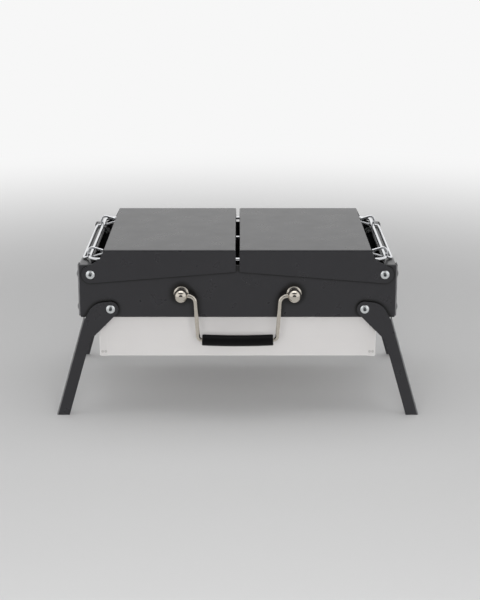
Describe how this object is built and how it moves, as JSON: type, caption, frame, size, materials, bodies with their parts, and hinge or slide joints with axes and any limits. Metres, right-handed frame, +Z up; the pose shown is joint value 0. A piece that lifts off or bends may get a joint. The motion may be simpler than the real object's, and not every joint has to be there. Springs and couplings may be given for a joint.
{
  "type": "portable grill",
  "caption": "Folding tabletop charcoal grill: sheet-steel trough with outward lids, folding legs, hanging charcoal tray, wire cooking grate and bail carry handle.",
  "frame": {"origin": "on the ground under the middle of the whole grill's box, legs open and handle hanging", "axes": "+X along the grill's length, +Y to the rear, away from the carry handle, +Z up"},
  "size_m": [0.4984, 0.297, 0.233],
  "materials": {
    "dark_paint": "satin dark grey heat-resistant paint on sheet steel",
    "bright_tray": "bright galvanised sheet steel",
    "chrome_wire": "bright chrome plating",
    "zinc": "bright zinc plating",
    "nickel": "warm nickel plating",
    "black_grip": "black moulded grip, soft sheen"
  },
  "bodies": {
    "trough": {"front_wall": "dark_paint", "rear_wall": "dark_paint", "left_end_wall": "dark_paint", "right_end_wall": "dark_paint", "corner_rivets": "dark_paint", "lid_rivets": "zinc", "lid_washers": "zinc", "leg_rivets": "zinc", "leg_spacers": "zinc", "left_knob": "nickel", "right_knob": "nickel", "knob_screws": "zinc", "tray_pan": "bright_tray", "tray_left_end": "bright_tray", "tray_right_end": "bright_tray", "grate_frame": "chrome_wire", "grate_bars": "chrome_wire", "grate_support_rod": "chrome_wire", "left_grate_handle": "chrome_wire", "right_grate_handle": "chrome_wire"},
    "left_lid": {"left_lid": "dark_paint"},
    "right_lid": {"right_lid": "dark_paint"},
    "front_left_leg": {"front_left_leg": "dark_paint"},
    "front_right_leg": {"front_right_leg": "dark_paint"},
    "rear_left_leg": {"rear_left_leg": "dark_paint"},
    "rear_right_leg": {"rear_right_leg": "dark_paint"},
    "carry_handle": {"handle_wire": "nickel", "handle_grip": "black_grip"}
  },
  "joints": [
    {"name": "left_lid_hinge", "type": "hinge", "parent": "trough", "child": "left_lid", "pos_m": [-0.198, 0.00855, 0.1992], "axis": [0, -1, 0], "range_deg": [0, 180]},
    {"name": "right_lid_hinge", "type": "hinge", "parent": "trough", "child": "right_lid", "pos_m": [0.198, 0.00855, 0.1992], "axis": [0, 1, 0], "range_deg": [0, 180]},
    {"name": "front_left_leg_fold", "type": "hinge", "parent": "trough", "child": "front_left_leg", "pos_m": [-0.1717, -0.12865, 0.1514], "axis": [0, -1, 0], "range_deg": [0, 105]},
    {"name": "front_right_leg_fold", "type": "hinge", "parent": "trough", "child": "front_right_leg", "pos_m": [0.1717, -0.12865, 0.1514], "axis": [0, 1, 0], "range_deg": [0, 105]},
    {"name": "rear_left_leg_fold", "type": "hinge", "parent": "trough", "child": "rear_left_leg", "pos_m": [-0.1717, 0.14575, 0.1514], "axis": [0, -1, 0], "range_deg": [0, 105]},
    {"name": "rear_right_leg_fold", "type": "hinge", "parent": "trough", "child": "rear_right_leg", "pos_m": [0.1717, 0.14575, 0.1514], "axis": [0, 1, 0], "range_deg": [0, 105]},
    {"name": "carry_handle_swing", "type": "hinge", "parent": "trough", "child": "carry_handle", "pos_m": [0, -0.13925, 0.1727], "axis": [-1, 0, 0], "range_deg": [-10, 180]}
  ]
}
